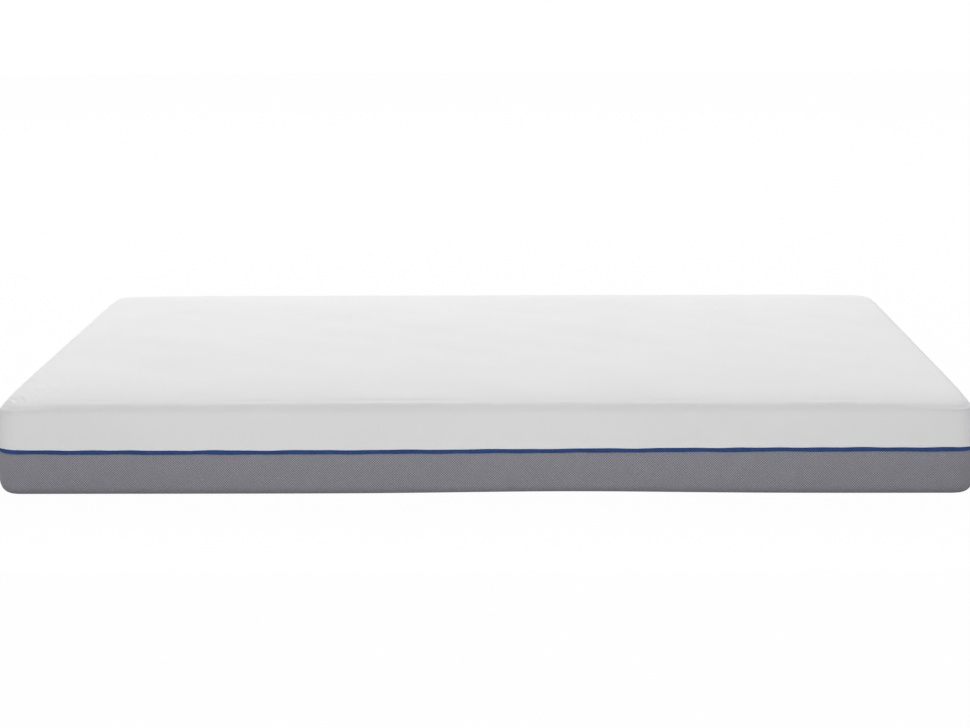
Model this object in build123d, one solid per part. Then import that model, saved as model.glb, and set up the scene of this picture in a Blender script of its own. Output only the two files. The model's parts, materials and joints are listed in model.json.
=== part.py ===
from build123d import *
import os

# A two-tone foam mattress. X runs along its length, -Y is the long side that faces the viewer, +Y is
# the back, and Z = 0 is the face it lies on. Sizes are in millimetres.

# Whole mattress
length = 2000.0
width = 1400.0
edge_height = 196.5
crown_rise = 8.5
plan_radius = 50.0

# The crown as shares of the way from the rolled edge to the middle, and of the rise
crown_shape = ((0.0, 0.0), (0.03, 0.2), (0.1, 0.46), (0.28, 0.78), (0.55, 0.95), (0.85, 1.0))

# Fits
fit_gap = 0.3
cord_gap = 0.15

# Cover, measured inwards from the outermost line of the piping
panel_thickness = 4.5
upper_bulge_inset = 1.5
lower_bulge_inset = 2.2
hem_inset = 3.4
hem_thickness = 2.4
padding_taper = 10.0
top_roll = 20.0
top_seam_drop = 15.0
top_seam_tuck = 1.2
bottom_roll = 20.0
base_thickness = 2.0

# Piping between the white and the grey cover
piping_height = 93.0
piping_diameter = 7.0
piping_cord_diameter = 4.6
piping_flange_thickness = 0.9

# Foam stack
foam_inset = 12.5
memory_layer_height = 40.0
comfort_layer_height = 30.0
foam_bottom_roll = 9.0

# Zip behind the piping, with its two ends meeting on the back long side
tape_thickness = 0.7
tape_sewn_height = 8.0
coil_inset = 9.7
coil_thickness = 2.2
coil_height = 2.4
coil_parting = 0.9
coil_corner = 0.6
zip_end_gap = 16.0
tape_end_gap = 4.0
stop_length = 3.0
stop_wall = 0.25

# Slider and pull, on the back long side
slider_corner_distance = 62.0
slider_length = 14.0
slider_plate = 0.9
slider_coil_gap = 0.3
slider_lip = 0.8
slider_lip_height = 1.0
slider_corner = 1.6
blade_length = 5.0
blade_thickness = 0.5
slider_run_drop = 0.8
slider_stop_gap = 1.0
lug_thickness = 1.2
lug_height = 2.4
lug_piping_gap = 1.1
pin_inset = 1.5
pin_diameter = 1.2
pull_eye_diameter = 2.9
pull_eye_width = 3.4
pull_width = 8.0
pull_length = 23.0
pull_thickness = 1.2
pull_neck = 2.2
pull_corner = 1.8

# Heights that follow from the sizes above
half_width = width / 2
slider_park = length / 2 - plan_radius - slider_corner_distance
piping_radius = piping_diameter / 2
top_seam_height = edge_height - top_seam_drop
foam_bottom = base_thickness
foam_top = edge_height - panel_thickness - fit_gap
comfort_bottom = foam_top - comfort_layer_height
memory_bottom = comfort_bottom - memory_layer_height
cover_inner_inset = foam_inset - fit_gap
foam_top_roll = top_roll - (foam_inset - upper_bulge_inset)
upper_hem = piping_height + piping_radius + fit_gap
lower_hem = piping_height - piping_radius - fit_gap
hem_inner_inset = hem_inset + hem_thickness
flange_inset = hem_inner_inset + fit_gap
tape_sewn_inset = flange_inset + piping_flange_thickness + fit_gap
slider_half_gap = coil_thickness / 2 + slider_coil_gap
slider_front_inset = coil_inset - slider_half_gap - slider_plate
slider_back_inset = coil_inset + slider_half_gap + slider_plate
coil_reach = coil_parting / 2 + coil_height
pin_height = piping_height - piping_radius - lug_piping_gap - lug_height / 2
slider_bottom = pin_height - lug_height / 2
slider_top = piping_height + coil_reach + slider_coil_gap
stop_start = slider_park + slider_length / 2 + slider_stop_gap
zip_joint = stop_start + zip_end_gap / 2
upper_tape_bend = slider_top + fit_gap
lower_tape_bend = slider_bottom - fit_gap
upper_sewn_start = upper_tape_bend + coil_inset - tape_sewn_inset
lower_sewn_start = lower_tape_bend - coil_inset + flange_inset
upper_sewn_end = upper_sewn_start + tape_sewn_height
lower_sewn_end = lower_sewn_start - tape_sewn_height

# The edge plane is a section across the front side: local x runs inwards and local y runs up.
edge_plane = Plane(origin=(0, -half_width, 0), x_dir=(0, 1, 0), z_dir=(1, 0, 0))


def slab(inset, bottom, top):
    """A rounded rectangular slab that stands back from the outermost line by inset."""
    plan = RectangleRounded(length - 2 * inset, width - 2 * inset, plan_radius - inset)
    return Pos(0, 0, bottom) * extrude(plan, top - bottom)


def perimeter():
    """The outermost line of the mattress, one closed run from the middle of the front side."""
    x, y, r = length / 2 - plan_radius, half_width - plan_radius, plan_radius
    return Wire(
        [
            Line((0, -half_width), (x, -half_width)).edge(),
            CenterArc((x, -y), r, -90, 90).edge(),
            Line((length / 2, -y), (length / 2, y)).edge(),
            CenterArc((x, y), r, 0, 90).edge(),
            Line((x, half_width), (-x, half_width)).edge(),
            CenterArc((-x, y), r, 90, 90).edge(),
            Line((-length / 2, y), (-length / 2, -y)).edge(),
            CenterArc((-x, -y), r, 180, 90).edge(),
            Line((-x, -half_width), (0, -half_width)).edge(),
        ]
    )


def ring(section):
    """Carry a section, drawn as distance inwards and height, once round the mattress."""
    return sweep(edge_plane * section, path=perimeter())


def outline(*curves):
    """A face inside curves that meet end to end."""
    return make_face([edge for curve in curves for edge in curve.edges()])


def back_box(x_range, inset_range, z_range):
    """A box on the back long side, between two places along X, two insets and two heights."""
    size = [high - low for low, high in (x_range, inset_range, z_range)]
    middle_x = sum(x_range) / 2
    middle_y = half_width - sum(inset_range) / 2
    return Pos(middle_x, middle_y, sum(z_range) / 2) * Box(*size)


def crown(inset, bottom):
    """The low dome of the lying surface, inside the roll that stands back by inset."""
    reach = half_width - inset
    sections = []
    for share_in, share_up in crown_shape:
        back = inset + share_in * reach
        plan = RectangleRounded(length - 2 * back, width - 2 * back, plan_radius - inset)
        sections.append(Pos(0, 0, bottom + share_up * crown_rise) * plan)
    return loft(sections)


def rolled_block(inset, bottom, top, roll):
    """A slab with its top edge rolled over and its lying surface crowned."""
    floor = bottom - roll
    block = slab(inset, floor, top)
    block = fillet(block.faces().sort_by(Axis.Z)[-1].edges(), roll)
    return block + crown(inset + roll, top) - slab(0, floor, bottom)


def top_panel():
    """White knit over wadding, rolled over the edge down to the seam of the upper border."""
    outer = rolled_block(upper_bulge_inset, top_seam_height, edge_height, top_roll)
    inner_top = edge_height - panel_thickness
    inner = rolled_block(cover_inner_inset, top_seam_height, inner_top, foam_top_roll + fit_gap)
    return outer - inner


def upper_border():
    """White padded border that bulges between the top seam and the piping."""
    top = top_seam_height - fit_gap
    start = (upper_bulge_inset + top_seam_tuck, top)
    hem = (hem_inset, upper_hem)
    fullest = (upper_bulge_inset, (top + upper_hem) / 2)
    taper = upper_sewn_end + fit_gap
    corners = [
        hem,
        (hem_inner_inset, upper_hem),
        (hem_inner_inset, taper),
        (cover_inner_inset, taper + padding_taper),
        (cover_inner_inset, top),
        start,
    ]
    return ring(outline(ThreePointArc(start, fullest, hem), Polyline(*corners)))


def lower_border():
    """Grey spacer mesh border that rolls under the bottom edge, dipped for the slider's run."""
    hem = (hem_inset, lower_hem)
    roll_start = (lower_bulge_inset, bottom_roll)
    roll_end = (lower_bulge_inset + bottom_roll, 0)
    tail_top = foam_bottom - fit_gap
    inner_roll = foam_bottom_roll + fit_gap
    inner_end = (cover_inner_inset + inner_roll, tail_top)
    inner_start = (cover_inner_inset, tail_top + inner_roll)
    taper = lower_sewn_end - fit_gap
    corners = [
        inner_start,
        (cover_inner_inset, taper - padding_taper),
        (hem_inner_inset, taper),
        (hem_inner_inset, lower_hem),
        hem,
    ]
    section = outline(
        TangentArc(roll_start, hem, tangent=(0, 1)),
        CenterArc((roll_end[0], bottom_roll), bottom_roll, 180, 90),
        Polyline(roll_end, (roll_end[0], tail_top), inner_end),
        CenterArc((inner_end[0], inner_start[1]), inner_roll, 180, 90),
        Polyline(*corners),
    )
    run_end = slider_park + slider_length
    dip = (slider_bottom - slider_run_drop, lower_hem + fit_gap)
    return ring(section) - back_box((-run_end, run_end), (0, hem_inner_inset + fit_gap), dip)


def base_panel():
    """Flat woven base inside the roll of the lower border."""
    return slab(lower_bulge_inset + bottom_roll + fit_gap, 0, base_thickness)


def piping_cord():
    """Filler cord of the piping."""
    return ring(Pos(piping_radius, piping_height) * Circle(piping_cord_diameter / 2))


def piping_cover():
    """Blue tape wrapped round the filler cord, with its flange sewn behind the white hem."""
    centre = Pos(piping_radius, piping_height)
    flange_height = upper_sewn_end - piping_height
    flange_middle = (flange_inset + piping_flange_thickness / 2, piping_height + flange_height / 2)
    flange = Pos(*flange_middle) * Rectangle(piping_flange_thickness, flange_height)
    bore = Circle(piping_cord_diameter / 2 + cord_gap)
    return ring(centre * Circle(piping_radius) + flange) - ring(centre * bore)


def tape(side):
    """Zip tape from its coil to the hem it is sewn behind; side is 1 above and -1 below."""
    coil_edge = piping_height + side * (coil_reach + fit_gap)
    if side > 0:
        bend, sewn_start, sewn_end = upper_tape_bend, upper_sewn_start, upper_sewn_end
        sewn_inset = tape_sewn_inset
    else:
        bend, sewn_start, sewn_end = lower_tape_bend, lower_sewn_start, lower_sewn_end
        sewn_inset = flange_inset
    inner = coil_inset + tape_thickness / 2
    outer = coil_inset - tape_thickness / 2
    points = [
        (outer, coil_edge),
        (inner, coil_edge),
        (inner, bend),
        (sewn_inset + tape_thickness, sewn_start),
        (sewn_inset + tape_thickness, sewn_end),
        (sewn_inset, sewn_end),
        (sewn_inset, sewn_start),
        (outer, bend),
    ]
    run = ring(outline(Polyline(*points, close=True)))
    return run - zip_cut(tape_end_gap)


def coil(side):
    """One half of the zip's coil, a plain bead as long as the tape."""
    middle = piping_height + side * (coil_parting + coil_height) / 2
    section = RectangleRounded(coil_thickness, coil_height, coil_corner)
    return ring(Pos(coil_inset, middle) * section) - zip_cut(zip_end_gap)


def zip_cut(gap):
    """The gap on the back side where the two ends of the zip meet."""
    ends = (zip_joint - gap / 2, zip_joint + gap / 2)
    return back_box(ends, (0, foam_inset), (0, edge_height))


def stops(side):
    """Two crimped stops, one on each end of a coil."""
    middle = piping_height + side * (coil_parting + coil_height) / 2
    heights = (middle - coil_height / 2, middle + coil_height / 2)
    half = coil_thickness / 2 + stop_wall
    left = zip_joint - zip_end_gap / 2
    right = zip_joint + zip_end_gap / 2
    insets = (coil_inset - half, coil_inset + half)
    blocks = [
        back_box((left, left + stop_length), insets, heights),
        back_box((right - stop_length, right), insets, heights),
    ]
    return Compound(children=[fillet(b.edges().filter_by(Axis.X), stop_wall) for b in blocks])


def slider():
    """Zip slider: two plates joined by a blade between the coils, lips below and lugs for the pull."""
    along = (slider_park - slider_length / 2, slider_park + slider_length / 2)
    inner_front = slider_front_inset + slider_plate
    inner_back = slider_back_inset - slider_plate
    lip_bottom = piping_height - coil_reach - slider_coil_gap - slider_lip_height
    lip_heights = (lip_bottom, lip_bottom + slider_lip_height)
    front = back_box(along, (slider_front_inset, inner_front), (slider_bottom, slider_top))
    back = back_box(along, (inner_back, slider_back_inset), (lip_bottom, slider_top))
    plates = [fillet(p.edges().filter_by(Axis.Y), slider_corner) for p in (front, back)]
    lip_span = (along[0] + slider_corner, along[1] - slider_corner)
    blade_span = (slider_park - blade_length / 2, slider_park + blade_length / 2)
    blade_heights = (piping_height - blade_thickness / 2, piping_height + blade_thickness / 2)
    body = plates[0] + plates[1]
    body += back_box(lip_span, (inner_front, inner_front + slider_lip), lip_heights)
    body += back_box(lip_span, (inner_back - slider_lip, inner_back), lip_heights)
    body += back_box(blade_span, (inner_front, inner_back), blade_heights)
    lug_inner = pull_eye_width / 2 + fit_gap
    lug_outer = lug_inner + lug_thickness
    lug_heights = (pin_height - lug_height / 2, pin_height + lug_height / 2)
    for low, high in ((lug_inner, lug_outer), (-lug_outer, -lug_inner)):
        bar = (slider_park + low, slider_park + high)
        body += back_box(bar, (pin_inset, slider_front_inset), lug_heights)
        body += pin_disc(lug_height, bar)
    return body + pin_disc(pin_diameter, (slider_park - lug_inner, slider_park + lug_inner))


def pin_disc(diameter, x_range):
    """A round bar on the axis of the pull's pin."""
    middle = (sum(x_range) / 2, half_width - pin_inset, pin_height)
    return Pos(*middle) * Rot(0, 90, 0) * Cylinder(diameter / 2, x_range[1] - x_range[0])


def pull():
    """Pull tab that hangs from its eye on the slider's pin."""
    half_eye = pull_eye_width / 2
    eye_span = (slider_park - half_eye, slider_park + half_eye)
    insets = (pin_inset - pull_thickness / 2, pin_inset + pull_thickness / 2)
    neck_bottom = pin_height - pull_eye_diameter / 2 - pull_neck
    tab_span = (slider_park - pull_width / 2, slider_park + pull_width / 2)
    tab = back_box(tab_span, insets, (neck_bottom - pull_length, neck_bottom))
    tab = fillet(tab.edges().filter_by(Axis.Y), pull_corner)
    body = pin_disc(pull_eye_diameter, eye_span) + tab
    body += back_box(eye_span, insets, (neck_bottom, pin_height))
    return body - pin_disc(pin_diameter + 2 * fit_gap, eye_span)


def comfort_foam_layer():
    """Open-cell foam on top, with the rolled edge and crown that the cover draws over it."""
    return rolled_block(foam_inset, comfort_bottom, foam_top, foam_top_roll)


def memory_foam_layer():
    """Slow-recovery foam in the middle."""
    return slab(foam_inset, memory_bottom, comfort_bottom)


def support_foam_core():
    """Cold-cured foam that carries the rest, with a rolled bottom edge."""
    core = slab(foam_inset, foam_bottom, memory_bottom)
    return fillet(core.faces().sort_by(Axis.Z)[0].edges(), foam_bottom_roll)


nodes = {
    "top_panel": top_panel(),
    "upper_border": upper_border(),
    "piping_cover": piping_cover(),
    "piping_cord": piping_cord(),
    "lower_border": lower_border(),
    "base_panel": base_panel(),
    "comfort_foam_layer": comfort_foam_layer(),
    "memory_foam_layer": memory_foam_layer(),
    "support_foam_core": support_foam_core(),
    "zip_tape_upper": tape(1),
    "zip_tape_lower": tape(-1),
    "zip_coil_upper": coil(1),
    "zip_coil_lower": coil(-1),
    "zip_stops_upper": stops(1),
    "zip_stops_lower": stops(-1),
    "zip_slider": slider(),
    "zip_pull": pull(),
}

os.makedirs("parts", exist_ok=True)
for name, shape in nodes.items():
    export_step(shape, f"parts/{name}.step")
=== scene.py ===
"""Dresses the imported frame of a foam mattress: knit cover, piping, mesh border, foam and hidden zip."""

import json
import math

import bmesh
import bpy
import numpy as np
from bpy.props import FloatProperty, FloatVectorProperty, IntProperty, PointerProperty
from mathutils import Matrix, Vector

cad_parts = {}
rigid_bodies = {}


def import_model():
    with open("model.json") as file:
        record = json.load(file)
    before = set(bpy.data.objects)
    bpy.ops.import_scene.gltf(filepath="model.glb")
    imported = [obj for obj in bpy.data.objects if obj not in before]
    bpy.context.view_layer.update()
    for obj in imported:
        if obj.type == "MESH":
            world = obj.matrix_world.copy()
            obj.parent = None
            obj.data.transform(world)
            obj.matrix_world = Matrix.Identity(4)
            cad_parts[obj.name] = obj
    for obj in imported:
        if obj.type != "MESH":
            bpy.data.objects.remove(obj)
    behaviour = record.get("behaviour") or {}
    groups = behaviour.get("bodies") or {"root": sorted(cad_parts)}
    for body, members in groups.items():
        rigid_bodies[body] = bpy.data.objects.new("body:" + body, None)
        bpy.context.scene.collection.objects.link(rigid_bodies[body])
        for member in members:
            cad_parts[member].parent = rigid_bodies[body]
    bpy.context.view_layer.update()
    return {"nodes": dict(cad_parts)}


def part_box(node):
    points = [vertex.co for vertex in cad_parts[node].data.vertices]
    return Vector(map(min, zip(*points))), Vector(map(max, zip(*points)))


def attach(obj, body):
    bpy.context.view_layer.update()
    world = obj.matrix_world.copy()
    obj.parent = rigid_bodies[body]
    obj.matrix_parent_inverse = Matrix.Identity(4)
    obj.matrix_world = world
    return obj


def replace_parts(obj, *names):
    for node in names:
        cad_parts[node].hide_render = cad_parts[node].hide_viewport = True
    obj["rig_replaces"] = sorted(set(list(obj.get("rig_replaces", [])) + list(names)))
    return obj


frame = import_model()

bl_info = {
    "name": "Foam Mattress",
    "version": (1, 0, 0),
    "blender": (4, 5, 0),
    "location": "View3D > Sidebar > Mattress",
    "description": "Builds the cover, foam and zip of a foam mattress round its CAD frame",
    "category": "Object",
}

TURN = 2 * math.pi
QUARTER = math.pi / 2
SHARP_TURN = math.radians(60)

PIPING_LOW, PIPING_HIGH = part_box("piping_cover")
CORD_LOW, CORD_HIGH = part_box("piping_cord")
PANEL_LOW, PANEL_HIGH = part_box("top_panel")
UPPER_LOW, UPPER_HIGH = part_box("upper_border")
LOWER_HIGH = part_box("lower_border")[1]
BASE_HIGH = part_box("base_panel")[1]
COMFORT_LOW, COMFORT_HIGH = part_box("comfort_foam_layer")
MEMORY_LOW, MEMORY_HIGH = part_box("memory_foam_layer")
SUPPORT_LOW, SUPPORT_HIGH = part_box("support_foam_core")
TAPE_UP_LOW, TAPE_UP_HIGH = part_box("zip_tape_upper")
TAPE_DOWN_LOW, TAPE_DOWN_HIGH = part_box("zip_tape_lower")
COIL_UP_LOW, COIL_UP_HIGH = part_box("zip_coil_upper")
COIL_DOWN_LOW, COIL_DOWN_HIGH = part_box("zip_coil_lower")
STOPS_LOW, STOPS_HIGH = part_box("zip_stops_upper")
SLIDER_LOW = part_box("zip_slider")[0]

HALF_X = PIPING_HIGH.x
HALF_Y = PIPING_HIGH.y
PIPING_Z = (CORD_LOW.z + CORD_HIGH.z) / 2
PIPING_RADIUS = PIPING_Z - PIPING_LOW.z
CORD_RADIUS = (CORD_HIGH.z - CORD_LOW.z) / 2
SEAM_Z = PANEL_LOW.z


def inset_of(high):
    """How far a node's outside stands back from the outermost line of the piping."""
    return HALF_Y - high.y


def size_of(name, description, default, least=0.0):
    """A property for a length in metres."""
    return FloatProperty(name=name, description=description, default=default, min=least, unit="LENGTH")


def colour_of(name, description, default):
    """A property for a material's colour."""
    return FloatVectorProperty(
        name=name, description=description, default=default, min=0.0, max=1.0, subtype="COLOR")


def angle_of(name, description, degrees):
    """A property for an angle of the camera."""
    return FloatProperty(
        name=name, description=description, default=math.radians(degrees), unit="ROTATION")


def power_of(name, description, default):
    """A property for a lamp's power."""
    return FloatProperty(name=name, description=description, default=default, min=0.0, unit="POWER")


class MattressShape(bpy.types.PropertyGroup):
    """Sizes of the soft pieces."""

    corner_radius: size_of("Corner radius", "Radius of the corners in plan", 0.050, 0.03)
    edge_roll: size_of("Edge roll", "Height of the roll along the top edge of the long sides", 0.028, 0.005)
    front_width: size_of(
        "Front roll width", "How far the roll of the front edge reaches in over the top", 0.030, 0.005)
    back_width: size_of(
        "Back roll width", "How far the roll of the back edge reaches in over the top", 0.014, 0.005)
    end_roll: size_of("End roll", "Radius of the roll along the top edge of the short sides", 0.027, 0.005)
    crown_rise: size_of("Crown", "How much the middle stands above the edge", 0.0085)
    shoulder_drop: size_of("Shoulder drop", "How far the lying surface falls off close to the edge", 0.0063)
    corner_drop: size_of("Corner drop", "How far the lying surface falls off towards the corners", 0.006)
    panel_thickness: size_of("Panel thickness", "Knit and wadding of the top panel", 0.0045, 0.001)
    cover_inside: size_of("Cover inside", "Inset of the inner side of the borders", 0.0122, 0.005)
    end_lean: size_of("End lean", "How far the short sides lean in at the top seam", 0.0045)
    seam_tuck: size_of("Seam tuck", "Depth of the valley at the top seam", 0.0024)
    ripple: size_of("Ripple", "Height of the slow waves in the knit", 0.0013)
    wrinkle: size_of("Wrinkle", "Height of the small folds at corners and edges", 0.0012)
    piping_wave: size_of("Piping wave", "How far the piping wanders up and down along the front", 0.0020)
    piping_bulge: size_of("Piping bulge", "How far the piping swells up and down along the front", 0.0004)
    bottom_lift: size_of("Bottom lift", "How far the mesh border lifts off the floor at the front", 0.0042)
    bottom_roll: size_of(
        "Bottom roll", "Radius of the mesh border's roll under the bottom edge", 0.020, 0.005)
    cap_pitch: size_of("Panel pitch", "Mesh spacing on the lying surface", 0.0085, 0.004)
    corner_steps: IntProperty(
        name="Corner steps", description="Mesh steps round each corner", default=30, min=4)


class MattressFinish(bpy.types.PropertyGroup):
    """Colours and pattern sizes of the materials."""

    white: colour_of("White knit", "Colour of the knit", (0.83, 0.83, 0.838))
    grey: colour_of("Grey mesh", "Colour of the mesh border", (0.238, 0.234, 0.263))
    blue: colour_of("Blue piping", "Colour of the piping tape", (0.0195, 0.066, 0.240))
    base: colour_of("Base weave", "Colour of the base fabric", (0.16, 0.158, 0.175))
    comfort: colour_of("Comfort foam", "Colour of the top foam layer", (0.70, 0.77, 0.82))
    memory: colour_of("Memory foam", "Colour of the memory foam", (0.84, 0.77, 0.60))
    support: colour_of("Support foam", "Colour of the foam core", (0.72, 0.71, 0.68))
    tape: colour_of("Zip tape", "Colour of the zip tapes", (0.11, 0.11, 0.125))
    coil: colour_of("Zip coil", "Colour of the zip's teeth", (0.075, 0.075, 0.085))
    metal: colour_of("Zip metal", "Colour of slider, pull and stops", (0.56, 0.56, 0.58))
    thread: colour_of("Thread", "Colour of the seam thread and filler cord", (0.55, 0.55, 0.57))
    knit_pitch: size_of("Knit pitch", "Width of one wale of the knit", 0.0024, 0.0005)
    mesh_pitch: size_of("Mesh pitch", "Spacing of the mesh border's dots", 0.0050, 0.001)
    twill_pitch: size_of("Twill pitch", "Spacing of the piping's twill lines", 0.0014, 0.0005)
    foam_cell: size_of("Foam cell", "Size of the foam's open cells", 0.0022, 0.0005)


class MattressStage(bpy.types.PropertyGroup):
    """Camera, lamps and floor."""

    camera_place: FloatVectorProperty(
        name="Camera", description="Place of the camera", subtype="XYZ", unit="LENGTH",
        default=(0.0765, -5.1931, 1.1152))
    camera_pitch: angle_of("Pitch", "How far the camera looks down", 10.624)
    camera_yaw: angle_of("Yaw", "How far the camera turns to the right", -0.948)
    camera_roll: angle_of("Roll", "How far the camera tips", 0.30)
    camera_lens: FloatProperty(
        name="Lens", description="Focal length on a 36 mm wide sensor",
        default=84.45, min=10.0, unit="CAMERA")
    key_power: power_of("Key", "Power of the overhead softbox", 725.0)
    fill_power: power_of("Fill", "Power of the low strip in front", 2.65)
    ambient: FloatProperty(
        name="Ambient", description="Strength of the even light all round", default=0.6, min=0.0)
    floor_white: FloatProperty(
        name="Floor white", description="How far the floor is lifted to white for the eye",
        default=0.98, min=0.0, max=1.0, subtype="FACTOR")


def with_other(operation):
    """Both forms of an operator: a Math node on a signal and another value, in either order."""
    def plain(self, other):
        return self.maths(operation, self, other)

    def reflected(self, other):
        return self.maths(operation, other, self)

    return plain, reflected


def alone(operation):
    """A method that puts a Math node on a signal by itself."""
    def method(self):
        return self.maths(operation, self)

    return method


class Signal:
    """A node's socket that takes part in Python arithmetic."""

    def __init__(self, graph, socket):
        self.graph = graph
        self.socket = socket

    def maths(self, operation, *values):
        return self.graph.node("ShaderNodeMath", dict(enumerate(values)), operation=operation)

    __add__, __radd__ = with_other("ADD")
    __sub__, __rsub__ = with_other("SUBTRACT")
    __mul__, __rmul__ = with_other("MULTIPLY")
    __truediv__, __rtruediv__ = with_other("DIVIDE")
    __pow__, __rpow__ = with_other("POWER")
    larger = with_other("MAXIMUM")[0]
    step_above = with_other("GREATER_THAN")[0]
    __abs__ = alone("ABSOLUTE")
    fraction = alone("FRACT")
    sine = alone("SINE")
    cosine = alone("COSINE")

    def lifted(self):
        """A wave between -1 and 1 brought between 0 and 1."""
        return self * 0.5 + 0.5


def blend(first, second, share):
    """A share of one signal and the rest of another."""
    return first * share + second * (1 - share)


class Graph:
    """A node tree that grows by one method."""

    def __init__(self, tree):
        self.tree = tree

    def node(self, kind, inputs=None, output=0, **settings):
        """Adds a node: its settings come first, then the values or links of its sockets."""
        made = self.tree.nodes.new(kind)
        for key, value in settings.items():
            setattr(made, key, value)
        for key, value in (inputs or {}).items():
            if isinstance(value, Signal):
                self.tree.links.new(value.socket, made.inputs[key])
            else:
                made.inputs[key].default_value = value
        return Signal(self, made.outputs[output]) if made.outputs else made

    def seen_directly(self):
        """1 for rays from the eye, off gloss or through glass, and 0 for the rest."""
        eye, gloss, glass = [self.node("ShaderNodeLightPath", output=ray)
                             for ray in ("Is Camera Ray", "Is Glossy Ray", "Is Transmission Ray")]
        return eye.larger(gloss).larger(glass)


# Sockets of a surface that take one value all over.
SOCKET_NAMES = {
    "sheen_weight": "Sheen Weight",
    "sheen_roughness": "Sheen Roughness",
    "specular": "Specular IOR Level",
    "metallic": "Metallic",
}


class Finish(Graph):
    """One material and the patterns it is made of."""

    def __init__(self, name):
        self.material = bpy.data.materials.new(name + "_finish")
        self.material.use_nodes = True
        self.material.node_tree.nodes.clear()
        super().__init__(self.material.node_tree)

    def along_and_across(self):
        """Metres along and across the cloth, from the piece's UV map."""
        cloth = self.node("ShaderNodeUVMap", uv_map="UVMap")
        return [self.node("ShaderNodeSeparateXYZ", {0: cloth}, axis) for axis in (0, 1)]

    def place(self):
        return self.node("ShaderNodeTexCoord", output="Object")

    def noise(self, scale, detail=3.0, where=None):
        sockets = {"Vector": where or self.place(), "Scale": scale, "Detail": detail}
        return self.node("ShaderNodeTexNoise", sockets, "Fac")

    def smooth(self, value, low=0.3, high=0.7, start=0.0):
        sockets = {0: value, 1: low, 2: high, 3: start, 4: 1.0}
        return self.node("ShaderNodeMapRange", sockets, interpolation_type="SMOOTHSTEP")

    def dyed(self, dye, spread, tone):
        """A colour that goes from a darker to a lighter shade of a dye as the tone rises."""
        dark, light = [tuple(part * (1 + side * spread) for part in dye) + (1.0,) for side in (-1, 1)]
        return self.node("ShaderNodeMix", {0: tone, 6: dark, 7: light}, 2, data_type="RGBA")

    def close(self, colour, height, depth, rough, **constants):
        """Ends the tree in one surface, with a bump and a roughness for hollows and for crests."""
        hollow, crest = rough
        bump = self.node(
            "ShaderNodeBump", {"Strength": 1.0, "Distance": depth, "Height": height}, "Normal")
        sockets = {"Base Color": colour, "Roughness": height * (crest - hollow) + hollow, "Normal": bump}
        for name, value in constants.items():
            sockets[SOCKET_NAMES[name]] = value
        surface = self.node("ShaderNodeBsdfPrincipled", sockets)
        self.node("ShaderNodeOutputMaterial", {"Surface": surface})
        return self.material


def white_knit(look):
    """Fine single jersey, a little brighter on the crest of each loop; the cover's pieces share it."""
    made = bpy.data.materials.get("white_knit_finish")
    if made:
        return made
    cloth = Finish("white_knit")
    along, across = cloth.along_and_across()
    course = look.knit_pitch * 0.8
    leg = abs((along / look.knit_pitch).fraction() - 0.5)
    loop = ((across / course + leg * 0.9) * TURN).sine().lifted()
    height = loop * (1 - (leg * 2) ** 4.0)
    tone = blend(height, cloth.smooth(cloth.noise(scale=5.0)), 0.55)
    colour = cloth.dyed(look.white, 0.02, tone)
    return cloth.close(colour, height, depth=0.0004, rough=(0.92, 0.84),
                       sheen_weight=0.12, sheen_roughness=0.5)


def grey_mesh(look):
    """Spacer mesh: staggered light dots on a darker ground, with slight weaving streaks."""
    cloth = Finish("grey_mesh")
    along, across = cloth.along_and_across()
    step = TURN / look.mesh_pitch
    dots = (along * step).cosine() * (across * step).cosine()
    fibre = cloth.noise(scale=420.0, detail=2.0)
    streak = cloth.noise(scale=30.0, detail=4.0)
    patch = cloth.smooth(cloth.noise(scale=45.0, detail=2.0), low=0.35, high=0.65, start=0.5)
    height = dots.lifted()
    tone = dots * patch * 0.55 + fibre * 0.35 + streak * 0.15 + 0.25
    colour = cloth.dyed(look.grey, 0.53, tone)
    return cloth.close(colour, height, depth=0.0006, rough=(0.9, 0.8),
                       sheen_weight=0.1, sheen_roughness=0.5)


def blue_twill(look):
    """Narrow twill tape, its diagonal lines running round the cord."""
    cloth = Finish("blue_twill")
    along, across = cloth.along_and_across()
    line = ((along + across) * (TURN / look.twill_pitch)).sine().lifted()
    tone = blend(line, cloth.smooth(cloth.noise(scale=60.0)), 0.6)
    colour = cloth.dyed(look.blue, 0.22, tone)
    return cloth.close(colour, line, depth=0.00025, rough=(0.8, 0.65), specular=0.25)


def base_weave(look):
    """Plain basket weave of the non-slip base."""
    cloth = Finish("base_weave")
    along, across = cloth.along_and_across()
    repeat = 2 * look.mesh_pitch * 0.6
    warp = abs((along * (TURN / repeat)).sine())
    weft = abs((across * (TURN / repeat)).sine())
    row = (across / repeat).fraction().step_above(0.5)
    column = (along / repeat).fraction().step_above(0.5)
    over = abs(row - column)
    height = warp * over + weft * (1 - over)
    tone = blend(height, cloth.noise(scale=350.0), 0.7)
    colour = cloth.dyed(look.base, 0.3, tone)
    return cloth.close(colour, height, depth=0.0004, rough=(0.92, 0.82))


def foam_finish(name, dye, cell):
    """Cut open-cell foam."""
    foam = Finish(name)
    cells = foam.node("ShaderNodeTexVoronoi", {"Vector": foam.place(), "Scale": 1 / cell}, "Distance")
    pores = foam.smooth(cells, low=0.1, high=0.6)
    tone = blend(pores, foam.smooth(foam.noise(scale=9.0)), 0.45)
    colour = foam.dyed(dye, 0.07, tone)
    return foam.close(colour, pores, depth=0.0004, rough=(0.96, 0.9))


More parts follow.
